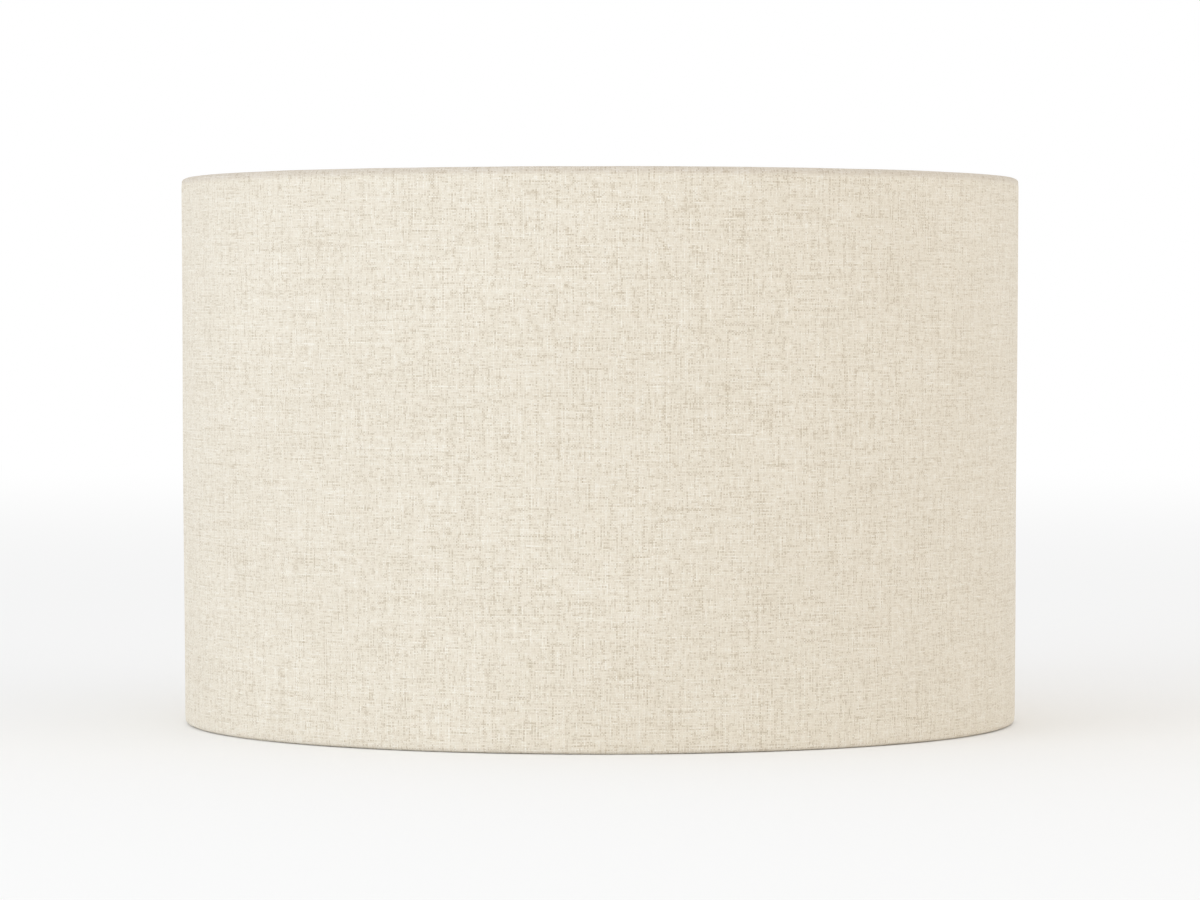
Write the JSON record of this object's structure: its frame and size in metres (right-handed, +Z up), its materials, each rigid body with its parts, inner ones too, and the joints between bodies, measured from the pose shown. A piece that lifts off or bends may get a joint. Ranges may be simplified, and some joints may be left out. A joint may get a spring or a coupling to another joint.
{
  "type": "lamp shade",
  "caption": "Straight drum lamp shade: cream linen on a stiff liner, rolled over wire rings, with a recessed three-arm fitter and a lift-out reducing ring",
  "frame": {"origin": "centre of the drum's bottom hem, on the plane it stands on", "axes": "+Z up along the drum's axis, -Y the front seen in the picture, seam at the back toward +Y"},
  "size_m": [0.45, 0.45, 0.292],
  "materials": {
    "linen": "plain-weave linen with slubs",
    "white_liner": "satin film",
    "clear_tape": "clear adhesive film",
    "white_wire": "white powder coat",
    "white_plastic": "moulded"
  },
  "bodies": {
    "shade": {"cover_fabric": "linen", "liner_sheet": "white_liner", "seam_tape": "clear_tape", "bottom_ring_tape": "clear_tape", "top_ring_tape": "clear_tape", "bottom_ring": "white_wire", "top_ring": "white_wire", "spider_arm_1": "white_wire", "spider_arm_2": "white_wire", "spider_arm_3": "white_wire", "fitter_ring": "white_wire"},
    "reducer": {"reducer_ring": "white_plastic"}
  },
  "joints": [
    {"name": "reducer_lift", "type": "slide", "parent": "shade", "child": "reducer", "axis": [0, 0, 1], "range_m": [0, 0.28]}
  ]
}
